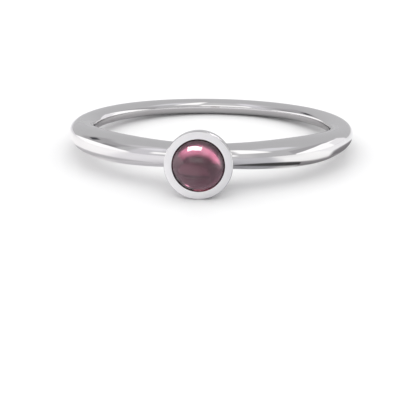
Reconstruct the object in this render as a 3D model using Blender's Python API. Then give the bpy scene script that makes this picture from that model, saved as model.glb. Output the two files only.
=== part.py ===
"""A slim stacking ring in white gold with a round rubbed-over cabochon.

The ring is modelled in its own frame first: the finger hole's axis is +Z, the setting faces -Y and the
mid-plane of the shank is z = 0. An empty then lays the finished ring on its side on the plane z = 0, where
it rests on the lower edge of its rim and on the back of its shank.

Three forms make the ring:
- the shank, a hoop of rounded wire that swells at the shoulders,
- the bezel cup, turned on the setting's axis and soldered through the front of the shank,
- the cabochon, turned on the same axis, which sits on a flat seat under the cup's lip.

The shank and the cup are one piece of metal. Lengths are in metres, written in millimetres.
"""
import math

import bmesh
import bpy
from mathutils import Matrix, Vector

MM = 0.001

# Shank
FINGER_HOLE_DIAMETER = 16.9 * MM
SHOULDER_THICKNESS = 2.5 * MM  # from the finger outwards
BACK_THICKNESS = 1.2 * MM
SHOULDER_WIDTH = 2.05 * MM  # along the finger
BACK_WIDTH = 1.1 * MM
SECTION_POWER = 2.2  # 2 is a round wire, higher is squarer
# The wire at even steps of 45 degrees from the setting round to the back: how much of the growth from
# the back's size to the shoulders' it has there
STATIONS = ("setting", "shoulder", "side", "rear", "back")
THICKNESS_GROWTH = (0.70, 1.00, 0.45, 0.30, 0.00)
WIDTH_GROWTH = (0.65, 1.00, 0.22, 0.02, 0.00)

# Stone
STONE_DIAMETER = 4.0 * MM
STONE_DOME_HEIGHT = 1.7 * MM
STONE_GIRDLE_HEIGHT = 0.3 * MM
STONE_BASE_BEVEL = 0.08 * MM
STONE_CLEARANCE = 0.05 * MM  # between the stone and the metal all round

# Bezel cup
CUP_WALL = 0.38 * MM  # outside the stone, at the rim
LIP_OVERLAP = 0.15 * MM  # how far the rubbed-over lip reaches in over the stone
RIM_RISE = 2.19 * MM  # from the shank's front out to the flat rim
RIM_EDGE_BEVEL = 0.06 * MM
SETTING_DROP = 0.04 * MM  # the setting's axis lies this far under the shank's mid-plane
COLLAR_DEPTH = 1.1 * MM  # upper, nearly straight stretch of the cup
COLLAR_TAPER = math.radians(5)
CUP_TAPER = math.radians(12)
BACK_HOLE_DIAMETER = 2.2 * MM
CUP_BACK_INSET = 0.05 * MM  # the cup's back stays this far behind the finger hole's wall

# Fineness of the facets
SHANK_SECTIONS = 88
SECTION_POINTS = 20
TURNED_SIDES = 48
DOME_STEPS = 8
LIP_STEPS = 4
CUT_PAST = 1.25  # a cutter runs this much further than what it cuts
SMOOTH_ANGLE = math.radians(35)
SHORTEST_EDGE = 0.003 * MM  # shorter ones, left where two cut edges cross, are closed up

# What follows from the sizes above
FINGER_RADIUS = FINGER_HOLE_DIAMETER / 2
STONE_RADIUS = STONE_DIAMETER / 2
SEAT_RADIUS = STONE_RADIUS + STONE_CLEARANCE
RIM_RADIUS = SEAT_RADIUS + CUP_WALL
OPENING_RADIUS = STONE_RADIUS - LIP_OVERLAP


def growth_share(turn, shares):
    """Share of the shank's growth at an angle from the setting, smooth through the stations."""
    step = math.pi / (len(shares) - 1)
    away = abs(math.remainder(turn, 2 * math.pi))
    before = min(int(away / step), len(shares) - 2)
    mirrored = [shares[1], *shares, shares[-2]]  # the shank is alike on both sides of its front and its back
    a, b, c, d = mirrored[before:before + 4]
    t = away / step - before
    return b + t * ((c - a) + t * ((2 * a - 5 * b + 4 * c - d) + t * (3 * b - 3 * c + d - a))) / 2


def wire_thickness(turn):
    return BACK_THICKNESS + (SHOULDER_THICKNESS - BACK_THICKNESS) * growth_share(turn, THICKNESS_GROWTH)


def wire_width(turn):
    return BACK_WIDTH + (SHOULDER_WIDTH - BACK_WIDTH) * growth_share(turn, WIDTH_GROWTH)


def dome_radius(height):
    """Radius of the stone's dome at a height above its girdle."""
    return STONE_RADIUS * math.sqrt(max(0.0, 1 - (height / STONE_DOME_HEIGHT) ** 2))


def girdle_depth():
    """How deep under the rim the top of the girdle lies, so that the dome clears the lip's edge."""
    dome_share = (OPENING_RADIUS - STONE_CLEARANCE) / STONE_RADIUS
    return STONE_DOME_HEIGHT * math.sqrt(1 - dome_share ** 2)


def rim_distance():
    """From the finger hole's axis out to the flat rim."""
    return FINGER_RADIUS + wire_thickness(0) + RIM_RISE


def superellipse(angle, power):
    """A point of a squarish circle of radius 1."""
    c, s = math.cos(angle), math.sin(angle)
    return (
        math.copysign(abs(c) ** (2 / power), c),
        math.copysign(abs(s) ** (2 / power), s),
    )


def skin(name, loops, closed):
    """A closed mesh through loops of points; a loop of one point is a tip."""
    bm = bmesh.new()
    rows = [[bm.verts.new(point) for point in loop] for loop in loops]
    pairs = list(zip(rows, rows[1:]))
    if closed:
        pairs.append((rows[-1], rows[0]))
    for low, high in pairs:
        count = max(len(low), len(high))
        for i in range(count):
            j = (i + 1) % count
            corners = [low[i % len(low)], low[j % len(low)], high[j % len(high)], high[i % len(high)]]
            bm.faces.new(list(dict.fromkeys(corners)))
    bmesh.ops.recalc_face_normals(bm, faces=bm.faces)
    mesh = bpy.data.meshes.new(name)
    bm.to_mesh(mesh)
    bm.free()
    return mesh


def add_object(name, mesh):
    obj = bpy.data.objects.new(name, mesh)
    bpy.context.scene.collection.objects.link(obj)
    return obj


def setting_matrix():
    """Turns local +Z outwards along -Y and puts the origin at the middle of the rim."""
    place = Matrix.Translation((0, -rim_distance(), -SETTING_DROP))
    return place @ Matrix.Rotation(math.radians(90), 4, "X")


def turned(name, profile):
    """A solid turned on the setting's axis, from (radius, height above the rim) points, tip to tip."""
    loops = []
    for radius, height in profile:
        if radius == 0:
            loops.append([Vector((0, 0, height))])
            continue
        turns = [2 * math.pi * i / TURNED_SIDES for i in range(TURNED_SIDES)]
        loops.append([Vector((radius * math.cos(a), radius * math.sin(a), height)) for a in turns])
    mesh = skin(name, loops, closed=False)
    mesh.transform(setting_matrix())
    return add_object(name, mesh)


def combine(target, tool, operation):
    """Joins or cuts the target with a tool, and removes the tool."""
    modifier = target.modifiers.new(operation.lower(), "BOOLEAN")
    modifier.operation = operation
    modifier.object = tool
    modifier.solver = "EXACT"
    evaluated = target.evaluated_get(bpy.context.evaluated_depsgraph_get())
    mesh = bpy.data.meshes.new_from_object(evaluated)
    target.modifiers.clear()
    target.data = mesh
    bpy.data.objects.remove(tool)
    bm = bmesh.new()
    bm.from_mesh(mesh)
    bmesh.ops.dissolve_degenerate(bm, dist=SHORTEST_EDGE, edges=bm.edges)
    bm.to_mesh(mesh)
    bm.free()


def finish(obj, material):
    """Names the mesh after its piece, gives it its material and smooth round faces with crisp edges."""
    obj.data.name = obj.name
    obj.data.materials.clear()
    obj.data.materials.append(material)
    obj.data.shade_smooth()
    obj.data.set_sharp_from_angle(angle=SMOOTH_ANGLE)


def shank():
    """Hoop of rounded wire whose inner side lies on the finger hole all the way round."""
    loops = []
    for i in range(SHANK_SECTIONS):
        turn = 2 * math.pi * (i + 0.5) / SHANK_SECTIONS  # the first two sections lie evenly about the setting
        half_thickness = wire_thickness(turn) / 2
        half_width = wire_width(turn) / 2
        outwards = Vector((math.sin(turn), -math.cos(turn), 0))
        section = []
        for k in range(SECTION_POINTS):
            across, up = superellipse(2 * math.pi * k / SECTION_POINTS, SECTION_POWER)
            radius = FINGER_RADIUS + half_thickness * (1 + across)
            section.append(outwards * radius + Vector((0, 0, half_width * up)))
        loops.append(section)
    return add_object("shank_with_bezel", skin("shank", loops, closed=True))


def cup_body():
    """The cup's outer form, solid, its back cut hollow to lie behind the finger hole's wall."""
    collar_radius = RIM_RADIUS - COLLAR_DEPTH * math.tan(COLLAR_TAPER)
    reach = CUT_PAST * (rim_distance() - FINGER_RADIUS)  # into the finger hole, before it is cut back
    back_radius = collar_radius - (reach - COLLAR_DEPTH) * math.tan(CUP_TAPER)
    body = turned("cup_body", [
        (0, -reach),
        (back_radius, -reach),
        (collar_radius, -COLLAR_DEPTH),
        (RIM_RADIUS, -RIM_EDGE_BEVEL),
        (RIM_RADIUS - RIM_EDGE_BEVEL, 0),
        (0, 0),
    ])
    combine(body, finger_cutter(), "DIFFERENCE")
    return body


def finger_cutter():
    """A plug a little wider than the finger hole, tall enough to pass the whole cup."""
    radius = FINGER_RADIUS + CUP_BACK_INSET
    half_height = CUT_PAST * (RIM_RADIUS + abs(SETTING_DROP))
    turns = [2 * math.pi * i / SHANK_SECTIONS for i in range(SHANK_SECTIONS)]
    loops = [[Vector((0, 0, -half_height))]]
    for z in (-half_height, half_height):
        loops.append([Vector((radius * math.sin(a), -radius * math.cos(a), z)) for a in turns])
    loops.append([Vector((0, 0, half_height))])
    return add_object("finger_cutter", skin("finger_cutter", loops, closed=False))


def bore_cutter():
    """Everything that is cut from inside the cup: lip, seat and back hole."""
    girdle_top = -girdle_depth()
    girdle_foot = girdle_top - STONE_GIRDLE_HEIGHT
    seat = girdle_foot - STONE_CLEARANCE
    past_finger = -CUT_PAST * (rim_distance() - FINGER_RADIUS)
    profile = [
        (0, past_finger),
        (BACK_HOLE_DIAMETER / 2, past_finger),
        (BACK_HOLE_DIAMETER / 2, seat),
        (SEAT_RADIUS, seat),
    ]
    # The lip's inner side keeps its clearance to the dome, up to and a little past the rim.
    for i in range(LIP_STEPS + 1):
        height = CUT_PAST * girdle_depth() * i / LIP_STEPS
        profile.append((dome_radius(height) + STONE_CLEARANCE, girdle_top + height))
    profile.append((0, STONE_DOME_HEIGHT))
    return turned("bore_cutter", profile)


def cabochon():
    """Domed stone: flat base with a small bevel, straight girdle, dome on an elliptic arc."""
    girdle_top = -girdle_depth()
    foot = girdle_top - STONE_GIRDLE_HEIGHT
    profile = [
        (0, foot),
        (STONE_RADIUS - STONE_BASE_BEVEL, foot),
        (STONE_RADIUS, foot + STONE_BASE_BEVEL),
    ]
    for i in range(DOME_STEPS):
        climb = math.radians(90) * i / DOME_STEPS
        profile.append((STONE_RADIUS * math.cos(climb), girdle_top + STONE_DOME_HEIGHT * math.sin(climb)))
    profile.append((0, girdle_top + STONE_DOME_HEIGHT))
    return turned("cabochon", profile)


def principled(name, colour, metallic, roughness, transmission=0.0, ior=1.5):
    material = bpy.data.materials.new(name)
    material.use_nodes = True
    shader = material.node_tree.nodes["Principled BSDF"]
    shader.inputs["Base Color"].default_value = (*colour, 1)
    shader.inputs["Metallic"].default_value = metallic
    shader.inputs["Roughness"].default_value = roughness
    shader.inputs["Transmission Weight"].default_value = transmission
    shader.inputs["IOR"].default_value = ior
    return material


def lowest(points, tilt):
    """Lowest height of the points once the ring's front is raised by the tilt."""
    return min(p.z * math.cos(tilt) - p.y * math.sin(tilt) for p in points)


def rest_tilt(points):
    """The tilt at which the ring's front and back touch the table together, found by halving."""
    front = [p for p in points if p.y < 0]
    back = [p for p in points if p.y > 0]
    low, high = 0.0, math.radians(45)
    for _ in range(50):
        middle = (low + high) / 2
        if lowest(front, middle) < lowest(back, middle):
            low = middle
        else:
            high = middle
    return low


def lay_down(pieces):
    """Parents the pieces to an empty that lays them on the table, centred over the origin."""
    points = [vertex.co.copy() for piece in pieces for vertex in piece.data.vertices]
    tilt = rest_tilt(points)
    depths = [p.y * math.cos(tilt) + p.z * math.sin(tilt) for p in points]
    rest = bpy.data.objects.new("rest", None)
    bpy.context.scene.collection.objects.link(rest)
    rest.rotation_euler = (-tilt, 0, 0)
    rest.location = (0, -(min(depths) + max(depths)) / 2, -lowest(points, tilt))
    for piece in pieces:
        piece.parent = rest
    return tilt


def build():
    for obj in list(bpy.data.objects):
        bpy.data.objects.remove(obj)

    metal = shank()
    combine(metal, cup_body(), "UNION")
    combine(metal, bore_cutter(), "DIFFERENCE")
    finish(metal, principled("white_gold", (0.80, 0.79, 0.78), 1.0, 0.08))

    stone = cabochon()
    finish(stone, principled("rose_stone", (0.36, 0.07, 0.16), 0.0, 0.04, transmission=0.8, ior=1.76))

    tilt = lay_down([metal, stone])
    bpy.context.view_layer.update()
    for i, station in enumerate(STATIONS):
        turn = math.pi * i / (len(STATIONS) - 1)
        print(f"{station}: {wire_thickness(turn) / MM:.2f} mm thick, {wire_width(turn) / MM:.2f} mm wide")
    print(f"rest tilt {math.degrees(tilt):.3f} degrees, rim {rim_distance() / MM:.3f} mm from the axis")


build()
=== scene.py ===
# %% [markdown]
# # A slim stacking ring with a rubbed-over stone
#
# This lesson dresses a small ring: a hoop of white gold, thick at its shoulders and thin at the back,
# with a round cup soldered through its front. The cup's rim is rubbed over a domed rose stone.
# Each piece is built to its real size, then laid on its side as it rests on a table.
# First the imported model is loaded. It says where everything goes, and its box is kept for a last comparison.

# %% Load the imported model
import math

import bmesh
import bpy
from mathutils import Matrix, Vector


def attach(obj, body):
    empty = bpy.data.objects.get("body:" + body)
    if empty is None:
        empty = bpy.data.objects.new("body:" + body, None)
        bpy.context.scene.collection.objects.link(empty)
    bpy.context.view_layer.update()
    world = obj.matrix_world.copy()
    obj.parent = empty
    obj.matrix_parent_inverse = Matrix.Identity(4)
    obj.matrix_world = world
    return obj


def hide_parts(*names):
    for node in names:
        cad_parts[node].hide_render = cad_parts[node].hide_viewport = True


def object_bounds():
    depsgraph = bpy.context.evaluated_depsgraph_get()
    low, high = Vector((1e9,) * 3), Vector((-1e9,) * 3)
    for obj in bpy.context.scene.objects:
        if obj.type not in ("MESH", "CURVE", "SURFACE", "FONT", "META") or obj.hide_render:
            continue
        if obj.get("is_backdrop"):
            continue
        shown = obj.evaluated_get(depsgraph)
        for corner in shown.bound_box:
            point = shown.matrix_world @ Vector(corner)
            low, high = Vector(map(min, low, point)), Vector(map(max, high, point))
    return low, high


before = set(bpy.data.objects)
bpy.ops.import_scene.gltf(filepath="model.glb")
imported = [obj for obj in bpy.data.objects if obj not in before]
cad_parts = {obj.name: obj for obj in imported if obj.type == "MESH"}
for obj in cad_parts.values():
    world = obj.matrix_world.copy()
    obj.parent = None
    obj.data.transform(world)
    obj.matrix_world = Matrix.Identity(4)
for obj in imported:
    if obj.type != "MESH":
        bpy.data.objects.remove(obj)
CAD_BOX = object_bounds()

MM = 0.001
print("nodes", sorted(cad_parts), "box", [[round(v / MM, 3) for v in corner] for corner in CAD_BOX])

# %% [markdown]
# ## Where the ring lies
#
# A jeweller draws a ring flat, with the finger hole's axis upright, and so do we: +Z is the hole's axis and
# the setting faces -Y. On a table the ring leans a little, because the rim stands lower than the wire, so
# one matrix takes every finished mesh from the drawing to the table. Moving the mesh and not the object
# keeps each object at the origin, where the export expects it.

# %% The ring's place on the table
REST_TILT = math.radians(5.048)
RING_CENTRE = Vector((0, 2.0265 * MM, 1.3438 * MM))
DRAWING_TO_TABLE = Matrix.Translation(RING_CENTRE) @ Matrix.Rotation(-REST_TILT, 4, "X")


def add_object(name, data):
    obj = bpy.data.objects.new(name, data)
    bpy.context.scene.collection.objects.link(obj)
    return obj


print(f"leans {math.degrees(REST_TILT):.2f} degrees")

# %% [markdown]
# ## How stout the wire is on its way round
#
# The real hoop is forged or cast so that it is strongest beside the setting and light at the back of the
# finger. Its thickness, from the finger outwards, and its width, along the finger, grow each in its own way.
# Five stations give how much of the growth the wire has, and a smooth curve runs through them.
# A Catmull-Rom curve is used because it passes through each station, so a measured size stays true.

# %% The shank's growth
FINGER_HOLE_DIAMETER = 16.9 * MM
BACK_THICKNESS = 1.2 * MM
SHOULDER_THICKNESS = 2.5 * MM
BACK_WIDTH = 1.1 * MM
SHOULDER_WIDTH = 2.05 * MM
STATIONS = ("setting", "shoulder", "side", "rear", "back")
THICKNESS_GROWTH = (0.70, 1.00, 0.45, 0.30, 0.00)
WIDTH_GROWTH = (0.65, 1.00, 0.22, 0.02, 0.00)


def growth_share(turn, shares):
    """Share of the growth at an angle from the setting, from 0 at the thin back to 1 at the shoulder."""
    step = math.pi / (len(shares) - 1)
    away = abs(math.remainder(turn, 2 * math.pi))
    before = min(int(away / step), len(shares) - 2)
    mirrored = [shares[1], *shares, shares[-2]]
    a, b, c, d = mirrored[before:before + 4]
    t = away / step - before
    return b + t * ((c - a) + t * ((2 * a - 5 * b + 4 * c - d) + t * (3 * b - 3 * c + d - a))) / 2


def wire_thickness(turn):
    return BACK_THICKNESS + (SHOULDER_THICKNESS - BACK_THICKNESS) * growth_share(turn, THICKNESS_GROWTH)


def wire_width(turn):
    return BACK_WIDTH + (SHOULDER_WIDTH - BACK_WIDTH) * growth_share(turn, WIDTH_GROWTH)


for i, station in enumerate(STATIONS):
    turn = math.pi * i / (len(STATIONS) - 1)
    print(f"{station}: {wire_thickness(turn) / MM:.2f} mm thick, {wire_width(turn) / MM:.2f} mm wide")

# %% [markdown]
# ## A small vocabulary for node trees
#
# Geometry trees and materials are both made of nodes, so a few helpers serve both. One fills an input with a
# value or a link, one adds a node with all its inputs, and one does arithmetic on sockets.

# %% Node helpers
def fill(tree, socket, value):
    """Links a socket to the input, or sets it to a plain value."""
    if isinstance(value, bpy.types.NodeSocket):
        tree.links.new(value, socket)
    else:
        socket.default_value = value


def add_node(tree, kind, inputs=None, **settings):
    node = tree.nodes.new(kind)
    for name, value in settings.items():
        setattr(node, name, value)
    for name, value in (inputs or {}).items():
        fill(tree, node.inputs[name], value)
    return node


def maths(tree, operation, *values):
    node = add_node(tree, "ShaderNodeMath", operation=operation)
    for socket, value in zip(node.inputs, values):
        fill(tree, socket, value)
    return node.outputs[0]


# %% [markdown]
# ## The shank as a sweep in Geometry Nodes
#
# The hoop follows a rule: a rounded section travels round a circle and grows with the angle. That is what
# Curve to Mesh does. The section is drawn with its inner side on the path, so that however much it is
# scaled, the finger hole stays a true circle. Curve to Mesh scales a section evenly, so it gives the wire's
# width, and then every point is moved along its own radius until the thickness is right too. The section is
# a superellipse, a circle pressed slightly square, as drawn wire is. The sizes are inputs of the tree, so
# another finger size needs no new tree.

# %% The shank's node tree
SECTION_POWER = 2.2
SHANK_SECTIONS = 480
SECTION_POINTS = 96
GROWTH_SAMPLES = 24


def shank_tree():
    tree = bpy.data.node_groups.new("tapered_wire_hoop", "GeometryNodeTree")
    for name, kind in (
        ("Finger Hole Diameter", "NodeSocketFloat"),
        ("Back Thickness", "NodeSocketFloat"),
        ("Shoulder Thickness", "NodeSocketFloat"),
        ("Back Width", "NodeSocketFloat"),
        ("Shoulder Width", "NodeSocketFloat"),
        ("Section Power", "NodeSocketFloat"),
        ("Sections", "NodeSocketInt"),
        ("Section Points", "NodeSocketInt"),
        ("Material", "NodeSocketMaterial"),
    ):
        tree.interface.new_socket(name, in_out="INPUT", socket_type=kind)
    tree.interface.new_socket("Hoop", in_out="OUTPUT", socket_type="NodeSocketGeometry")
    given = add_node(tree, "NodeGroupInput").outputs

    # The path round the finger, and each point's share of the way from the setting to the back
    finger_radius = maths(tree, "DIVIDE", given["Finger Hole Diameter"], 2.0)
    path = add_node(tree, "GeometryNodeCurvePrimitiveCircle",
                    {"Resolution": given["Sections"], "Radius": finger_radius})
    position = add_node(tree, "GeometryNodeInputPosition").outputs[0]
    place = add_node(tree, "ShaderNodeSeparateXYZ", {0: position})
    towards_setting = maths(tree, "MULTIPLY", place.outputs["Y"], -1.0)
    turn = maths(tree, "ABSOLUTE", maths(tree, "ARCTAN2", place.outputs["X"], towards_setting))
    way_round = maths(tree, "DIVIDE", turn, math.pi)
    size = {}
    for name, shares in (("Thickness", THICKNESS_GROWTH), ("Width", WIDTH_GROWTH)):
        gain = maths(tree, "SUBTRACT", given["Shoulder " + name], given["Back " + name])
        growth = growth_node(tree, way_round, shares)
        size[name] = maths(tree, "MULTIPLY_ADD", growth, gain, given["Back " + name])
    half_width = maths(tree, "DIVIDE", size["Width"], 2.0)

    # The section, from x = 0 on the finger hole to x = 2
    round_section = add_node(tree, "GeometryNodeCurvePrimitiveCircle",
                             {"Resolution": given["Section Points"], "Radius": 1.0})
    exponent = maths(tree, "DIVIDE", 2.0, given["Section Power"])
    corner = []
    for axis in "XY":
        value = place.outputs[axis]
        squarish = maths(tree, "POWER", maths(tree, "ABSOLUTE", value), exponent)
        corner.append(maths(tree, "MULTIPLY", maths(tree, "SIGN", value), squarish))
    point = add_node(tree, "ShaderNodeCombineXYZ", {"X": maths(tree, "ADD", corner[0], 1.0), "Y": corner[1]})
    section = add_node(tree, "GeometryNodeSetPosition",
                       {"Geometry": round_section.outputs["Curve"], "Position": point.outputs[0]})
    sweep = add_node(tree, "GeometryNodeCurveToMesh", {
        "Curve": path.outputs["Curve"],
        "Profile Curve": section.outputs[0],
        "Scale": half_width,
    })

    # From the wire's width to its thickness, along each point's own radius
    across = maths(tree, "MULTIPLY", place.outputs["X"], place.outputs["X"])
    radius = maths(tree, "SQRT", maths(tree, "MULTIPLY_ADD", place.outputs["Y"], place.outputs["Y"], across))
    outside = maths(tree, "SUBTRACT", radius, finger_radius)
    ratio = maths(tree, "DIVIDE", size["Thickness"], size["Width"])
    stretch = maths(tree, "DIVIDE", maths(tree, "MULTIPLY_ADD", outside, ratio, finger_radius), radius)
    moved = add_node(tree, "ShaderNodeCombineXYZ", {
        "X": maths(tree, "MULTIPLY", place.outputs["X"], stretch),
        "Y": maths(tree, "MULTIPLY", place.outputs["Y"], stretch),
        "Z": place.outputs["Z"],
    })
    stout = add_node(tree, "GeometryNodeSetPosition",
                     {"Geometry": sweep.outputs["Mesh"], "Position": moved.outputs[0]})
    real = add_node(tree, "GeometryNodeRealizeInstances", {"Geometry": stout.outputs[0]})
    dressed = add_node(tree, "GeometryNodeSetMaterial",
                       {"Geometry": real.outputs[0], "Material": given["Material"]})
    add_node(tree, "NodeGroupOutput", {"Hoop": dressed.outputs[0]})
    return tree


def growth_node(tree, way_round, shares):
    """A Float Curve through samples of the growth, from the setting at 0 to the back at 1."""
    node = add_node(tree, "ShaderNodeFloatCurve", {"Value": way_round})
    node.mapping.use_clip = False
    points = node.mapping.curves[0].points
    points[0].location = (0, growth_share(0, shares))
    points[1].location = (1, growth_share(math.pi, shares))
    for i in range(1, GROWTH_SAMPLES):
        points.new(i / GROWTH_SAMPLES, growth_share(math.pi * i / GROWTH_SAMPLES, shares))
    node.mapping.update()
    return node.outputs[0]


def set_input(modifier, name, value):
    """Sets a modifier's input by the identifier of the socket that has this name."""
    items = modifier.node_group.interface.items_tree
    identifier = next(item.identifier for item in items if item.name == name and item.in_out == "INPUT")
    modifier[identifier] = value


def plain_mesh(obj, name):
    """The evaluated object as a mesh with no modifiers left."""
    evaluated = obj.evaluated_get(bpy.context.evaluated_depsgraph_get())
    mesh = bpy.data.meshes.new_from_object(evaluated)
    mesh.name = name
    obj.modifiers.clear()
    obj.data = mesh
    return mesh


polished_gold = bpy.data.materials.new("polished_white_gold")
shank = add_object("shank", bpy.data.meshes.new("shank_start"))
sweep = shank.modifiers.new("hoop", "NODES")
sweep.node_group = shank_tree()
for input_name, input_value in (
    ("Finger Hole Diameter", FINGER_HOLE_DIAMETER),
    ("Back Thickness", BACK_THICKNESS),
    ("Shoulder Thickness", SHOULDER_THICKNESS),
    ("Back Width", BACK_WIDTH),
    ("Shoulder Width", SHOULDER_WIDTH),
    ("Section Power", SECTION_POWER),
    ("Sections", SHANK_SECTIONS),
    ("Section Points", SECTION_POINTS),
    ("Material", polished_gold),
):
    set_input(sweep, input_name, input_value)
plain_mesh(shank, "shank")
radii = [math.hypot(v.co.x, v.co.y) for v in shank.data.vertices]
print(f"shank {len(shank.data.polygons)} faces, radius {min(radii) / MM:.3f} to {max(radii) / MM:.3f} mm")

# %% [markdown]
# ## The setting's own axis
#
# Cup and stone are turned on a lathe, so their shapes are lists of radius and height, measured from the flat
# rim. One matrix puts that lathe axis at the front of the ring. The axis lies slightly under the middle of
# the wire, as it does on the real ring.

# %% Turning on the setting's axis
RIM_RISE = 2.19 * MM
SETTING_DROP = 0.04 * MM
FINGER_RADIUS = FINGER_HOLE_DIAMETER / 2
RIM_DISTANCE = FINGER_RADIUS + wire_thickness(0) + RIM_RISE
RIM_CENTRE = (0, -RIM_DISTANCE, -SETTING_DROP)
LATHE_TO_DRAWING = Matrix.Translation(RIM_CENTRE) @ Matrix.Rotation(math.pi / 2, 4, "X")
TURNED_SIDES = 192


def turned(name, profile, closed):
    """A solid turned from (radius, height) points, where both may be functions of the angle.

    A closed profile joins its last point to its first; an open one starts and ends on the axis."""
    bm = bmesh.new()
    rows = []
    for radius, height in profile:
        rows.append([])
        for i in range(1 if radius == 0 else TURNED_SIDES):
            angle = 2 * math.pi * i / TURNED_SIDES
            reach = radius(angle) if callable(radius) else radius
            level = height(angle) if callable(height) else height
            rows[-1].append(bm.verts.new((reach * math.cos(angle), reach * math.sin(angle), level)))
    pairs = list(zip(rows, rows[1:]))
    if closed:
        pairs.append((rows[-1], rows[0]))
    for low, high in pairs:
        for i in range(TURNED_SIDES):
            j = (i + 1) % TURNED_SIDES
            corners = (low[i % len(low)], low[j % len(low)], high[j % len(high)], high[i % len(high)])
            bm.faces.new(list(dict.fromkeys(corners)))
    bmesh.ops.recalc_face_normals(bm, faces=bm.faces)
    mesh = bpy.data.meshes.new(name)
    bm.to_mesh(mesh)
    bm.free()
    mesh.transform(LATHE_TO_DRAWING)
    return add_object(name, mesh)


def rounded(corners, steps=6):
    """A profile through (radius, height, rounding) corners, with an arc of that rounding in each corner."""
    points = []
    for i, (x, y, rounding) in enumerate(corners):
        here = Vector((x, y))
        if not rounding or i in (0, len(corners) - 1):
            points.append((x, y))
            continue
        before = (Vector(corners[i - 1][:2]) - here).normalized()
        after = (Vector(corners[i + 1][:2]) - here).normalized()
        half_angle = before.angle(after) / 2
        middle = here + (before + after).normalized() * (rounding / math.sin(half_angle))
        start = (here + before * (rounding / math.tan(half_angle)) - middle).normalized()
        end = (here + after * (rounding / math.tan(half_angle)) - middle).normalized()
        for k in range(steps + 1):
            points.append(tuple(middle + start.slerp(end, k / steps) * rounding))
    return points


# %% [markdown]
# ## The stone
#
# A cabochon is ground as a dome on a low straight girdle, and its flat foot has a small bevel so that it
# does not chip in the seat. It is turned like the cup. Its rows are spaced by angle, close at the edge where
# the dome is steep. The edge of the dome has to clear the rubbed-over lip, so that sets how deep it sits.

# %% The cabochon
STONE_DIAMETER = 4.0 * MM
STONE_DOME_HEIGHT = 1.7 * MM
STONE_GIRDLE_HEIGHT = 0.3 * MM
STONE_BASE_BEVEL = 0.08 * MM
STONE_CLEARANCE = 0.05 * MM
LIP_OVERLAP = 0.15 * MM
DOME_ROWS = 64
STONE_RADIUS = STONE_DIAMETER / 2
OPENING_RADIUS = STONE_RADIUS - LIP_OVERLAP


def dome_radius(height):
    """Radius of the dome at a height above its girdle."""
    return STONE_RADIUS * math.sqrt(max(0.0, 1 - (height / STONE_DOME_HEIGHT) ** 2))


GIRDLE_DEPTH = STONE_DOME_HEIGHT * math.sqrt(1 - ((OPENING_RADIUS - STONE_CLEARANCE) / STONE_RADIUS) ** 2)
GIRDLE_FOOT = -GIRDLE_DEPTH - STONE_GIRDLE_HEIGHT
stone_profile = [
    (0, GIRDLE_FOOT),
    (STONE_RADIUS / 2, GIRDLE_FOOT),
    (STONE_RADIUS - STONE_BASE_BEVEL, GIRDLE_FOOT),
    (STONE_RADIUS, GIRDLE_FOOT + STONE_BASE_BEVEL),
]
for row in range(DOME_ROWS):
    climb = math.pi / 2 * row / DOME_ROWS
    stone_profile.append((STONE_RADIUS * math.cos(climb), STONE_DOME_HEIGHT * math.sin(climb) - GIRDLE_DEPTH))
stone_profile.append((0, STONE_DOME_HEIGHT - GIRDLE_DEPTH))
stone = turned("rose_cabochon", stone_profile, closed=False)
dome_top = stone_profile[-1][1]
print(f"stone: girdle {GIRDLE_DEPTH / MM:.2f} mm under the rim, dome {dome_top / MM:.2f} mm over it")

# %% [markdown]
# ## The bezel cup
#
# The cup is turned from thick tube. Outside it is nearly straight at the collar and then tapers to the
# finger hole. Inside there is a lip that follows the dome, a wall, a flat seat and a drilled back hole.
# The bottom of the cup is filed to the curve of the finger hole. A Boolean would do that, but it leaves
# ragged faces that show in a mirror polish. Here each line of the cup ends where it meets the finger hole.

# %% The cup
CUP_WALL = 0.38 * MM
RIM_EDGE_ROUNDING = 0.07 * MM
LIP_EDGE_ROUNDING = 0.02 * MM
HOLE_EDGE_ROUNDING = 0.04 * MM
SEAT_CORNER_ROUNDING = 0.03 * MM
HOLE_ROW_DEPTH = 0.3 * MM  # a row of the hole's wall, under the seat
TAPER_ROW_DEPTH = 1.8 * MM  # a row of the tapered wall, under the rim
COLLAR_DEPTH = 1.1 * MM
COLLAR_TAPER = math.radians(5)
CUP_TAPER = math.radians(12)
COLLAR_ROUNDING = 4.0 * MM
BACK_HOLE_DIAMETER = 2.2 * MM
CUP_BACK_INSET = 0.05 * MM
LIP_ROWS = 8
BACK_ROWS = 4
SEAT_RADIUS = STONE_RADIUS + STONE_CLEARANCE
RIM_RADIUS = SEAT_RADIUS + CUP_WALL
COLLAR_RADIUS = RIM_RADIUS - COLLAR_DEPTH * math.tan(COLLAR_TAPER)
SEAT = GIRDLE_FOOT - STONE_CLEARANCE


def depth_at_finger(angle, axis_radius, slope):
    """How deep under the rim a cup line at this angle meets the finger hole's wall.

    The line's radius is axis_radius at the rim's level and shrinks by slope times the depth."""
    across = math.cos(angle) ** 2
    wall = FINGER_RADIUS + CUP_BACK_INSET
    a = slope ** 2 * across + 1
    b = axis_radius * slope * across + RIM_DISTANCE
    c = axis_radius ** 2 * across + RIM_DISTANCE ** 2 - wall ** 2
    return (b - math.sqrt(b * b - a * c)) / a


CUP_SLOPE = math.tan(CUP_TAPER)
CUP_LINE_RADIUS = COLLAR_RADIUS + COLLAR_DEPTH * CUP_SLOPE
HOLE_RADIUS = BACK_HOLE_DIAMETER / 2


def cup_end(angle):
    return -depth_at_finger(angle, CUP_LINE_RADIUS, CUP_SLOPE)


def cup_end_radius(angle):
    return CUP_LINE_RADIUS + CUP_SLOPE * cup_end(angle)


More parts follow.
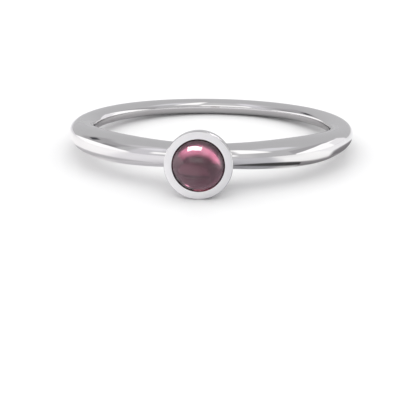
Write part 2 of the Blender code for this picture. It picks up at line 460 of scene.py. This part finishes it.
def back_row(share):
    """A ring of the filed back, from the outer wall at 0 to the hole's edge at 1."""
    def radius(angle):
        return cup_end_radius(angle) * (1 - share) + HOLE_RADIUS * share

    def height(angle):
        return -depth_at_finger(angle, radius(angle), 0)

    return radius, height


lip_heights = [GIRDLE_DEPTH * (i / LIP_ROWS) for i in range(LIP_ROWS + 1)]
lip_side = [(dome_radius(h) + STONE_CLEARANCE, h - GIRDLE_DEPTH, 0) for h in lip_heights]
cup_profile = rounded([
    (HOLE_RADIUS, SEAT - HOLE_ROW_DEPTH, 0),
    (HOLE_RADIUS, SEAT, HOLE_EDGE_ROUNDING),
    (SEAT_RADIUS, SEAT, SEAT_CORNER_ROUNDING),
    *lip_side[:-1],
    (lip_side[-1][0], 0, LIP_EDGE_ROUNDING),
    (RIM_RADIUS, 0, RIM_EDGE_ROUNDING),
    (COLLAR_RADIUS, -COLLAR_DEPTH, COLLAR_ROUNDING),
    (CUP_LINE_RADIUS - TAPER_ROW_DEPTH * CUP_SLOPE, -TAPER_ROW_DEPTH, 0),
])
cup_profile += [(cup_end_radius, cup_end)]
cup_profile += [back_row(i / BACK_ROWS) for i in range(1, BACK_ROWS + 1)]
cup = turned("bezel_cup", cup_profile, closed=True)
print(f"cup: rim {2 * RIM_RADIUS / MM:.2f} mm wide, {len(cup.data.polygons)} faces, seat {SEAT / MM:.2f} mm")

# %% [markdown]
# ## Making room inside the setting
#
# The back hole runs through the cup and the wire together, so that the stone can be pushed out and light
# can reach it. The wire is drilled with a Boolean cut. It is the one place where the cut is a plain
# round hole whose edge is meant to be crisp.

# %% Drill the wire
DRILL_SIDES = 96
DRILL_PAST = 1.0 * MM
DRILL_UNDERSIZE = 0.02 * MM


def drill(target, radius):
    bm = bmesh.new()
    length = RIM_DISTANCE - FINGER_RADIUS + DRILL_PAST
    place = LATHE_TO_DRAWING @ Matrix.Translation((0, 0, -length / 2))
    bmesh.ops.create_cone(bm, cap_ends=True, segments=DRILL_SIDES, radius1=radius, radius2=radius,
                          depth=length, matrix=place)
    mesh = bpy.data.meshes.new("drill")
    bm.to_mesh(mesh)
    bm.free()
    tool = add_object("drill", mesh)
    cut = target.modifiers.new("back_hole", "BOOLEAN")
    cut.object = tool
    cut.operation = "DIFFERENCE"
    cut.solver = "EXACT"
    plain_mesh(target, target.name)
    bpy.data.objects.remove(tool)


drill(shank, HOLE_RADIUS - DRILL_UNDERSIZE)
print(f"drilled shank {len(shank.data.polygons)} faces")

# %% [markdown]
# ## Solder seams
#
# The cup is soldered where it passes through the wire. Molten solder creeps into the corner and sets as a
# small hollow curve, which catches a line of light. Without it the two pieces look pushed together. A bevel
# on a Boolean's edge fails on such small faces, but both surfaces are known here as formulas. So the line
# where they meet is found for each angle round the wire, and a hollow strip is laid along it, from a point a
# little way up the wire to one a little way up the cup. The seam's width wavers, as hand work does.

# %% Solder seams
SEAM_WIDTH = 0.13 * MM
SEAM_SUNK = 0.003 * MM
SEAM_STEPS = 180
SEAM_ARC = 6
SEAM_FOOT = 0.5  # how deep the strip's root lies in the metal, as a share of its width
SEAM_END_MARGIN = 0.02 * MM  # from the filed back of the cup to the seam's ends
SEAM_THIN_END = 0.15  # share of the width that is left at the two ends
SEAM_END_ANGLE = 0.35  # round the wire, over which the seam grows to its full width
# how much the width wavers, how often round the wire, and where each wave starts
SEAM_WAVES = ((0.16, 5, 1), (0.10, 11, -2))
WIDEST_MEETING = 0.5  # a turn at which the wire is well clear of the cup
HALVINGS = 40
TURN_PROBE = 1e-4
AROUND_PROBE = 1e-3
CUP_PROBE = 0.05 * MM
DRAWING_TO_LATHE = LATHE_TO_DRAWING.inverted()


def wire_point(turn, around):
    """A point on the wire's surface: turn is the angle from the setting, around the angle in the section."""
    out, up = (math.copysign(abs(value) ** (2 / SECTION_POWER), value)
               for value in (math.cos(around), math.sin(around)))
    radius = FINGER_RADIUS + wire_thickness(turn) / 2 * (1 + out)
    return Vector((radius * math.sin(turn), -radius * math.cos(turn), wire_width(turn) / 2 * up))


def on_cup(point):
    """The nearest point of the cup's outer wall at the same height and angle on the setting's axis."""
    local = DRAWING_TO_LATHE @ point
    radius = CUP_LINE_RADIUS + CUP_SLOPE * local.z
    scale = radius / math.hypot(local.x, local.y)
    return LATHE_TO_DRAWING @ Vector((local.x * scale, local.y * scale, local.z))


def outside_cup(point):
    local = DRAWING_TO_LATHE @ point
    return math.hypot(local.x, local.y) - (CUP_LINE_RADIUS + CUP_SLOPE * local.z)


def meeting_turn(around):
    """The turn at which the wire comes out of the cup, found by halving."""
    low, high = 0.0, WIDEST_MEETING
    for _ in range(HALVINGS):
        middle = (low + high) / 2
        if outside_cup(wire_point(middle, around)) < 0:
            low = middle
        else:
            high = middle
    return (low + high) / 2


def seam_section(around, width):
    """The strip's outline at one angle round the wire: a hollow arc, then its root inside the metal."""
    turn = meeting_turn(around)
    corner = wire_point(turn, around)
    along = (wire_point(turn + TURN_PROBE, around) - corner) / TURN_PROBE
    across = wire_point(turn, around + AROUND_PROBE) - wire_point(turn, around - AROUND_PROBE)
    off_wire = along.cross(across).normalized()
    beside = corner + along.normalized() * CUP_PROBE
    off_cup = (beside - on_cup(beside)).normalized()
    if off_wire.dot(corner - wire_point(turn, around + math.pi)) < 0:
        off_wire.negate()
    up_cup = (off_wire - off_wire.project(off_cup)).normalized()
    first = wire_point(turn + width / along.length, around) - off_wire * SEAM_SUNK
    last = on_cup(corner + up_cup * width) - off_cup * SEAM_SUNK
    arc = []
    for i in range(SEAM_ARC + 1):
        t = i / SEAM_ARC
        arc.append(first * (1 - t) ** 2 + corner * 2 * t * (1 - t) + last * t ** 2)
    return [*arc, corner - (off_wire + off_cup) * width * SEAM_FOOT]


def seam_width(around, side, to_end):
    """The wavering width at an angle, thinner within the last stretch before either end."""
    waver = 1 + sum(depth * math.sin(times * around + start * side) for depth, times, start in SEAM_WAVES)
    fullness = SEAM_THIN_END + (1 - SEAM_THIN_END) * min(1.0, to_end / SEAM_END_ANGLE)
    return SEAM_WIDTH * waver * fullness


def seams():
    """One mesh of both strips, on the ring's right and mirrored on its left."""
    bm = bmesh.new()
    limit = FINGER_RADIUS + CUP_BACK_INSET + SEAM_END_MARGIN
    steps = [2 * math.pi * i / SEAM_STEPS - math.pi for i in range(SEAM_STEPS)]
    covered = [a for a in steps if wire_point(meeting_turn(a), a).xy.length > limit]
    for side in (1, -1):
        rings = []
        for around in covered:
            width = seam_width(around, side, min(around - covered[0], covered[-1] - around))
            outline = seam_section(around, width)
            rings.append([bm.verts.new((point.x * side, point.y, point.z)) for point in outline])
        for before, after in zip(rings, rings[1:]):
            for i in range(len(before)):
                j = (i + 1) % len(before)
                bm.faces.new((before[i], before[j], after[j], after[i]))
        bm.faces.new(rings[0])
        bm.faces.new(rings[-1])
    bmesh.ops.recalc_face_normals(bm, faces=bm.faces)
    mesh = bpy.data.meshes.new("solder_seams")
    bm.to_mesh(mesh)
    bm.free()
    return add_object("solder_seams", mesh)


seam = seams()
meeting = math.degrees(meeting_turn(0))
print(f"seams {len(seam.data.polygons)} faces, wire meets cup {meeting:.1f} degrees round")

# %% [markdown]
# ## Materials
#
# White gold is shown by its polish more than by its colour. The wire and the sides of the cup are buffed to
# a mirror, and the flat rim is lapped to an even satin. A perfect mirror looks like plastic, because a
# hand-held buff leaves the surface a few thousandths of a millimetre uneven. So the polish gets a wide, very
# shallow bump that makes reflections waver, and a roughness that changes a little from place to place. A
# picture of scratches would do for close-ups, but noise has no seams and can be changed with one number.
#
# The stone is clear glass to the shader. Its colour comes from the depth of stone that light crosses, so
# its thin edge is paler than its middle. Tinting the surface is simpler and makes every part equally dark.
# The dome is polished. The flat foot is only sanded, as on most cabochons, and that blurs what is seen
# through it.

# %% Materials
NOISE_SPAN = {"From Min": 0.3, "From Max": 0.7}  # most of what a noise texture gives
TINT_CLOUDS = 3.0 * MM
BUFFED_GRAIN = 0.35 * MM
BUFFED_GRAIN_DETAIL = 4.0
STONE_CLOUDS = 1.2 * MM
SANDED_GRAIN = 0.3 * MM
SANDED_ROUGHNESS = (0.17, 0.23)
DOME_RIPPLE = 1.0 * MM
DOME_RIPPLE_DEPTH = 0.003 * MM
ROSE_IOR = 1.76
ROSE_DEPTH_COLOUR = (0.46, 0.15, 0.27, 1)
ROSE_DEPTH_DENSITY = 1900.0
SANDED = "sanded"  # the face attribute that marks the stone's foot


def start_material(material):
    material.use_nodes = True
    return material.node_tree, material.node_tree.nodes["Principled BSDF"]


def noise(tree, size, detail=2.0):
    """Noise with lumps of about the given size, from 0 to 1."""
    place = add_node(tree, "ShaderNodeTexCoord").outputs["Object"]
    texture = add_node(tree, "ShaderNodeTexNoise", {"Vector": place, "Scale": 1 / size, "Detail": detail})
    return texture.outputs[0]


def between(tree, value, low, high):
    """Spreads a noise from a low to a high value."""
    limits = {"To Min": low, "To Max": high}
    return add_node(tree, "ShaderNodeMapRange", {"Value": value, **NOISE_SPAN, **limits}).outputs[0]


def blend(tree, value, first, second):
    mix = add_node(tree, "ShaderNodeMix", {"Factor": value}, data_type="RGBA")
    mix.inputs[6].default_value = (*first, 1)
    mix.inputs[7].default_value = (*second, 1)
    return mix.outputs[2]


def bump(tree, height, depth):
    return add_node(tree, "ShaderNodeBump", {"Height": height, "Distance": depth}).outputs[0]


def gold(material, light, dark, roughness, lump, lump_depth):
    tree, shader = start_material(material)
    shader.inputs["Metallic"].default_value = 1.0
    tint = between(tree, noise(tree, TINT_CLOUDS), 0, 1)
    grain = noise(tree, BUFFED_GRAIN, BUFFED_GRAIN_DETAIL)
    fill(tree, shader.inputs["Base Color"], blend(tree, tint, light, dark))
    fill(tree, shader.inputs["Roughness"], between(tree, grain, *roughness))
    fill(tree, shader.inputs["Normal"], bump(tree, noise(tree, lump), lump_depth))


satin_gold = bpy.data.materials.new("satin_white_gold")
gold(polished_gold, (0.81, 0.80, 0.795), (0.78, 0.77, 0.77), (0.01, 0.03), 2.2 * MM, 0.004 * MM)
gold(satin_gold, (0.98, 0.975, 0.97), (0.95, 0.945, 0.94), (0.34, 0.44), 0.16 * MM, 0.0015 * MM)

rose_stone = bpy.data.materials.new("rose_stone")
tree, shader = start_material(rose_stone)
shader.inputs["Transmission Weight"].default_value = 1.0
shader.inputs["IOR"].default_value = ROSE_IOR
clouds = between(tree, noise(tree, STONE_CLOUDS), 0, 1)
fill(tree, shader.inputs["Base Color"], blend(tree, clouds, (1.0, 0.98, 0.99), (0.96, 0.88, 0.92)))
sanded = add_node(tree, "ShaderNodeAttribute", attribute_name=SANDED).outputs["Fac"]
grain = between(tree, noise(tree, SANDED_GRAIN), *SANDED_ROUGHNESS)
fill(tree, shader.inputs["Roughness"], maths(tree, "MULTIPLY", sanded, grain))
fill(tree, shader.inputs["Normal"], bump(tree, noise(tree, DOME_RIPPLE), DOME_RIPPLE_DEPTH))
depth = add_node(tree, "ShaderNodeVolumeAbsorption")
depth.inputs["Color"].default_value = ROSE_DEPTH_COLOUR
depth.inputs["Density"].default_value = ROSE_DEPTH_DENSITY
fill(tree, tree.nodes["Material Output"].inputs["Volume"], depth.outputs[0])
for share in (0.5, 1.0, 2.0):
    left = [math.exp(-(1 - c) * ROSE_DEPTH_DENSITY * share * MM) for c in ROSE_DEPTH_COLOUR[:3]]
    print(f"{share} mm of stone lets through red {left[0]:.2f}, green {left[1]:.2f}, blue {left[2]:.2f}")

# %% [markdown]
# ## Smooth shading and where each finish goes
#
# Smooth shading by angle keeps the wire and the dome round and leaves the cup's turned edges crisp. The rim
# and the foot of the stone are picked by the way their faces point and by their height, because the meshes
# were made from profiles and the face numbers would change with every new row.

# %% Shade
SMOOTH_ANGLE = math.radians(32)
FLAT = 0.99
SAME_LEVEL = 0.01 * MM
RIM_NORMAL = (LATHE_TO_DRAWING.to_3x3() @ Vector((0, 0, 1))).normalized()


def shade(obj, *materials):
    obj.data.materials.clear()
    for material in materials:
        obj.data.materials.append(material)
    obj.data.shade_smooth()
    obj.data.set_sharp_from_angle(angle=SMOOTH_ANGLE)


def flat_faces(obj, normal, at_height):
    """The faces that point along normal at a height on the setting's axis."""
    found = []
    for face in obj.data.polygons:
        height = (DRAWING_TO_LATHE @ face.center).z
        if face.normal.dot(normal) > FLAT and abs(height - at_height) < SAME_LEVEL:
            found.append(face)
    return found


shade(shank, polished_gold)
shade(seam, polished_gold)
shade(cup, polished_gold, satin_gold)
shade(stone, rose_stone)
rim_faces = flat_faces(cup, RIM_NORMAL, 0)
for face in rim_faces:
    face.material_index = 1
foot_faces = flat_faces(stone, -RIM_NORMAL, GIRDLE_FOOT)
marks = stone.data.attributes.new(SANDED, "FLOAT", "FACE")
for face in foot_faces:
    marks.data[face.index].value = 1.0
print(f"satin faces {len(rim_faces)}, sanded faces {len(foot_faces)}")

# %% [markdown]
# ## Studio panels
#
# Polished metal shows nothing but its surroundings, so the studio is modelled with the same care as the
# ring. A jeweller's photographer stands white cards to the left and right, a softbox above, and leaves grey
# gaps between them, which give the metal its dark lines. One node group describes one card by the direction
# it stands in, its height, how far its top bends down towards its ends, and how soft its edge is. Real planes
# with emission would also work, but they take samples to find, and a painted card is free of noise.

# %% Panel group
def panel_group():
    """A group that answers how much of a studio panel lies in a direction, from 0 to 1."""
    group = bpy.data.node_groups.new("studio_panel", "ShaderNodeTree")
    for name in ("Azimuth", "Height", "Centre", "Half Width", "Low", "High", "Arch", "Softness"):
        group.interface.new_socket(name, in_out="INPUT", socket_type="NodeSocketFloat")
    group.interface.new_socket("Share", in_out="OUTPUT", socket_type="NodeSocketFloat")
    given = add_node(group, "NodeGroupInput").outputs
    turned_away = maths(group, "SUBTRACT", given["Azimuth"], given["Centre"])
    aside = maths(group, "ABSOLUTE", maths(group, "WRAP", turned_away, 180.0, -180.0))
    along = maths(group, "DIVIDE", aside, given["Half Width"])
    drop = maths(group, "MULTIPLY", maths(group, "MULTIPLY", along, along), given["Arch"])
    top = maths(group, "SUBTRACT", given["High"], drop)
    shares = []
    for value, limit, sign in ((aside, given["Half Width"], 1), (given["Height"], top, 1),
                               (given["Height"], given["Low"], -1)):
        softness = maths(group, "MULTIPLY", given["Softness"], float(sign))
        outside = maths(group, "ADD", limit, softness)
        within = maths(group, "SUBTRACT", limit, softness)
        inputs = {"Value": value, "From Min": outside, "From Max": within}
        step = add_node(group, "ShaderNodeMapRange", inputs, interpolation_type="SMOOTHSTEP")
        shares.append(step.outputs[0])
    share = maths(group, "MULTIPLY", maths(group, "MULTIPLY", shares[0], shares[1]), shares[2])
    add_node(group, "NodeGroupOutput", {"Share": share})
    return group


def azimuth_of(tree, parts):
    """Degrees to the right of straight ahead, as seen from the ring towards the camera."""
    turn = maths(tree, "ARCTAN2", parts.outputs["X"], maths(tree, "MULTIPLY", parts.outputs["Y"], -1.0))
    return maths(tree, "MULTIPLY", turn, 180 / math.pi)


def paint(tree, ground, azimuth, height, panels):
    """Lays panels over a ground colour, one after another."""
    colour = add_node(tree, "ShaderNodeRGB").outputs[0]
    colour.default_value = (*ground, 1)
    for name, centre, half_width, low, high, arch, softness, tone in panels:
        panel = add_node(tree, "ShaderNodeGroup", node_tree=studio_panel, label=name)
        for socket, value in (("Azimuth", azimuth), ("Height", height), ("Centre", centre),
                              ("Half Width", half_width), ("Low", low), ("High", high), ("Arch", arch),
                              ("Softness", softness)):
            fill(tree, panel.inputs[socket], value)
        mix = add_node(tree, "ShaderNodeMix", {"Factor": panel.outputs[0]}, data_type="RGBA")
        fill(tree, mix.inputs[6], colour)
        mix.inputs[7].default_value = (*tone, 1)
        colour = mix.outputs[2]
    return colour


studio_panel = panel_group()
print(f"panel group has {len(studio_panel.nodes)} nodes")

# %% [markdown]
# ## Floor
#
# The ring lies on plain white. To the camera the floor is one even white. In the metal it would fill the
# whole lower half of every reflection with that white, so for reflected rays the same panel group lays
# painted grey cards on the floor, by direction and by distance from its middle in millimetres. They are a
# painted reflection that only mirrors see. The last four, and the one behind the wire, lie close to the wire
# and are painted shade that stands for its shadow on the floor. The three on the right are dark, and draw
# the thin dark line along the wire's lower right edge.

# %% Floor
FLOOR_RADIUS = 4.0
FLOOR_SIDES = 128
FLOOR_GRAIN = 20 * MM
FLOOR_ROUGHNESS = (0.32, 0.38)
FLOOR_SEEN = (0.93, 0.93, 0.93, 1)
# FLOOR_GROUND and the floor panels are painted reflection, seen only in mirrors; the panels close to the wire
# are painted shade
FLOOR_GROUND = (0.78, 0.77, 0.80)
# name, centre and half width in degrees, from and to in millimetres, arch, softness, colour
FLOOR_PANELS = (
    ("left", -90, 37, -9, 9999, 0, 8, (0.97, 0.96, 0.97)),
    ("right", 92, 55, -9, 9999, 0, 8, (0.97, 0.97, 0.97)),
    ("front_right", 21, 20, -9, 9999, 0, 6, (0.52, 0.52, 0.55)),
    ("far_right", 112, 28, 11, 9999, 0, 5, (0.86, 0.86, 0.88)),
    ("behind", 180, 34, -9, 9999, 0, 8, (0.50, 0.50, 0.51)),
    ("behind_wire_painted_shade", 180, 60, 7.6, 10.2, 0, 0.8, (0.42, 0.41, 0.42)),
    ("inside", 0, 181, -9, 5.5, 0, 1.0, (0.97, 0.96, 0.97)),
    ("left_shade", -70, 44, 9.4, 11.0, 1.6, 0.5, (0.55, 0.54, 0.56)),
    ("right_shade", 97, 24, 9.6, 14.0, 4.4, 1.0, (0.20, 0.19, 0.20)),
    ("front_shade", 40, 24, 8.9, 10.9, 1.6, 0.5, (0.06, 0.06, 0.06)),
    ("right_edge_painted_shade", 68, 15, 8.4, 10.3, 0, 0.6, (0.32, 0.31, 0.32)),
)


def floor_disc():
    bm = bmesh.new()
    bmesh.ops.create_circle(bm, cap_ends=True, segments=FLOOR_SIDES, radius=FLOOR_RADIUS)
    mesh = bpy.data.meshes.new("floor")
    bm.to_mesh(mesh)
    bm.free()
    return add_object("floor", mesh)


floor = floor_disc()
floor_white = bpy.data.materials.new("floor_white")
tree, shader = start_material(floor_white)
place = add_node(tree, "ShaderNodeTexCoord").outputs["Object"]
parts = add_node(tree, "ShaderNodeSeparateXYZ", {0: place})
distance = add_node(tree, "ShaderNodeVectorMath", {0: place}, operation="LENGTH").outputs["Value"]
distance = maths(tree, "DIVIDE", distance, MM)
# painted reflection and painted shade on the floor, for reflected rays only
tone = paint(tree, FLOOR_GROUND, azimuth_of(tree, parts), distance, FLOOR_PANELS)
to_camera = add_node(tree, "ShaderNodeLightPath").outputs["Is Camera Ray"]
white = add_node(tree, "ShaderNodeMix", {"Factor": to_camera}, data_type="RGBA")
fill(tree, white.inputs[6], tone)
white.inputs[7].default_value = FLOOR_SEEN
fill(tree, shader.inputs["Base Color"], white.outputs[2])
fill(tree, shader.inputs["Roughness"], between(tree, noise(tree, FLOOR_GRAIN), *FLOOR_ROUGHNESS))
shader.inputs["Specular IOR Level"].default_value = 0.2
floor.data.materials.append(floor_white)
floor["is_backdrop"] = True
print(f"floor {2 * FLOOR_RADIUS:.0f} m across with {len(FLOOR_PANELS)} cards for the reflections")

# %% [markdown]
# ## Studio
#
# The world is painted with the same panels. The height is now the angle over the horizon. The order matters,
# because each panel covers the ones before it: the grey and dark ones come first and the white walls
# are laid over them, which leaves a dark rim above each wall. Straight ahead, 0 degrees, is the camera's
# side, and the right is positive.
#
# Three kinds of rays get three answers. Matt surfaces receive an even white light from everywhere, the camera
# sees white behind the floor's edge, and only mirrors see the panels. The tone curve is Standard,
# so white stays white.

# %% Studio
CEILING = (0.56, 0.56, 0.575)
EVEN_LIGHT = 1.35
# name, centre and half width, from and to, arch and softness in degrees, colour
PANELS = (
    ("left_high", -72, 15, 50, 72, 0, 6, (0.68, 0.67, 0.70)),
    ("left_grey", -101, 31, 12, 46, 0, 5, (0.44, 0.435, 0.45)),
    ("left_dark_side", -84, 10, 14, 30, 0, 4, (0.32, 0.315, 0.33)),
    ("left_dark", -119, 7, 22, 34, 0, 2.5, (0.08, 0.08, 0.09)),
    ("left_wall", -92, 51, -90, 19, 22, 1.2, (1.27, 1.26, 1.28)),
    ("front_left", -40, 15, -90, 60, 0, 5, (0.71, 0.70, 0.74)),
    ("front_left_glow", -46, 11, 42, 66, 0, 6, (0.90, 0.89, 0.94)),
    ("front", 0, 28, -90, 66, 0, 6, (0.66, 0.655, 0.67)),
    ("front_strip", -10, 26, 13, 30, 0, 3, (1.2, 1.2, 1.2)),
    ("right_grey", 98, 34, 6, 36, 8, 3, (0.44, 0.435, 0.45)),
    ("right_wall", 116, 48, -90, 27, 22, 1, (1.27, 1.27, 1.28)),
    ("right_end", 139, 16, -90, 20, 0, 2, (1.0, 0.99, 1.02)),
    ("behind", 180, 31, -90, 30, 0, 2, (0.56, 0.56, 0.575)),
    ("key_box", 34, 15, 38, 80, 0, 4, (1.3, 1.3, 1.3)),
    ("key_glow", 74, 24, 48, 72, 0, 6, (0.82, 0.82, 0.86)),
)

world = bpy.data.worlds.new("studio")
bpy.context.scene.world = world
world.use_nodes = True
tree = world.node_tree
tree.nodes.clear()
direction = add_node(tree, "ShaderNodeTexCoord").outputs["Generated"]
parts = add_node(tree, "ShaderNodeSeparateXYZ", {0: direction})
height = maths(tree, "MULTIPLY", maths(tree, "ARCSINE", parts.outputs["Z"]), 180 / math.pi)
cards = paint(tree, CEILING, azimuth_of(tree, parts), height, PANELS)
ray = add_node(tree, "ShaderNodeLightPath")
even = add_node(tree, "ShaderNodeBackground", {"Color": (1, 1, 1, 1), "Strength": EVEN_LIGHT})
mirrored = add_node(tree, "ShaderNodeBackground", {"Color": cards, "Strength": 1.0})
seen = add_node(tree, "ShaderNodeBackground", {"Color": (1, 1, 1, 1), "Strength": 1.0})
lit = add_node(tree, "ShaderNodeMixShader", {0: ray.outputs["Is Diffuse Ray"], 1: mirrored.outputs[0],
                                             2: even.outputs[0]})
whole = add_node(tree, "ShaderNodeMixShader", {0: ray.outputs["Is Camera Ray"], 1: lit.outputs[0],
                                               2: seen.outputs[0]})
add_node(tree, "ShaderNodeOutputWorld", {"Surface": whole.outputs[0]})
bpy.context.scene.view_settings.view_transform = "Standard"
print(f"studio of {len(PANELS)} panels, {len(tree.nodes)} nodes")

# %% [markdown]
# ## Lights for the stone
#
# A dome gathers a whole room into a few small spots, so its lights are set by looking at the dome alone. One
# softbox up to the left gives the white spot near the top. A second one stands behind on the right. Its
# light enters through the back hole and leaves through the dome as a pink crescent. The first is linked to
# the stone alone and the second to the stone and its cup, so that they put no spots on the wire.

# %% Stone lights
STONE_LIGHT_DISTANCE = 0.3


def towards(azimuth, height):
    """The direction at so many degrees to the right of straight ahead and over the horizon."""
    azimuth, height = math.radians(azimuth), math.radians(height)
    level = math.cos(height)
    return Vector((math.sin(azimuth) * level, -math.cos(azimuth) * level, math.sin(height)))


def stone_light(name, azimuth, height, roll, width, length, watts, colour, receivers):
    data = bpy.data.lights.new(name, "AREA")
    data.shape = "RECTANGLE"
    data.size = width
    data.size_y = length
    data.energy = watts
    data.color = colour
    light = add_object(name, data)
    away = towards(azimuth, height)
    facing = away.to_track_quat("Z", "Y").to_matrix().to_4x4()
    place = Matrix.Translation(away * STONE_LIGHT_DISTANCE)
    light.matrix_world = place @ facing @ Matrix.Rotation(math.radians(roll), 4, "Z")
    lit_by = bpy.data.collections.new(name + "_receivers")
    for receiver in receivers:
        lit_by.objects.link(receiver)
    light.light_linking.receiver_collection = lit_by
    print(f"{name}: radiance {watts / (math.pi * width * length):.1f}")


stone_light("softbox", -36, 64, 24, 0.26, 0.10, 1.05, (1.0, 0.985, 0.96), (stone,))
stone_light("back_light", 156.5, 32, 0, 0.10, 0.12, 0.26, (1.0, 0.95, 0.98), (stone, cup))

# %% [markdown]
# ## Camera
#
# A long lens from 285 mm away, looking down at about 16 degrees, keeps the hoop's ellipse close to the one
# in the photograph. The lens is given in pixels per radian, because that is what can be measured in a
# picture. The camera is first pointed at the ring's centre, then turned until that centre falls on its pixel.

# %% Camera
IMAGE_SIZE = 416
NEAREST_SEEN = 0.01
FARTHEST_SEEN = 20
PIXELS_PER_RADIAN = 3920.0
CAMERA_DISTANCE = 285.0 * MM
CAMERA_HEIGHT = 16.25
CAMERA_TURN = 4.3
CAMERA_ROLL = math.radians(0.35)
CENTRE_PIXEL = (212.1, 129.7)
SENSOR_WIDTH = 36.0

camera_data = bpy.data.cameras.new("camera")
camera = add_object("camera", camera_data)
camera_data.sensor_width = SENSOR_WIDTH
camera_data.lens = PIXELS_PER_RADIAN * SENSOR_WIDTH / IMAGE_SIZE
camera_data.clip_start = NEAREST_SEEN
camera_data.clip_end = FARTHEST_SEEN
to_camera = towards(CAMERA_TURN, CAMERA_HEIGHT)
look = (-to_camera).to_track_quat("-Z", "Y").to_matrix().to_4x4()
aside = math.atan((CENTRE_PIXEL[0] - IMAGE_SIZE / 2) / PIXELS_PER_RADIAN)
below = math.atan((CENTRE_PIXEL[1] - IMAGE_SIZE / 2) / PIXELS_PER_RADIAN)
camera.matrix_world = (Matrix.Translation(RING_CENTRE + to_camera * CAMERA_DISTANCE) @ look
                       @ Matrix.Rotation(CAMERA_ROLL, 4, "Z") @ Matrix.Rotation(aside, 4, "Y")
                       @ Matrix.Rotation(below, 4, "X"))
bpy.context.scene.camera = camera
print(f"camera {CAMERA_DISTANCE / MM:.0f} mm away with a {camera_data.lens:.0f} mm lens")

# %% [markdown]
# ## Hand over
#
# The pieces were modelled in the drawing's own position. Here their meshes are moved onto the table, so that
# the objects keep their origins at zero. Each piece is attached to the root, and the solid it dresses is
# hidden. The box is measured once more and written next to the solids' box, to see that both agree.

# %% Hand over
DRESSED = (
    (shank, "shank_with_bezel", "white_gold"),
    (cup, "shank_with_bezel", "white_gold"),
    (seam, "shank_with_bezel", "white_gold"),
    (stone, "cabochon", "rose_stone"),
)
for piece, node, slot in DRESSED:
    piece.data.transform(DRAWING_TO_TABLE)
    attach(piece, "root")
    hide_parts(node)

VISUAL_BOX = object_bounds()
for name, box in (("solids", CAD_BOX), ("dressed", VISUAL_BOX)):
    print(name, "box in mm", [[round(value / MM, 2) for value in corner] for corner in box])
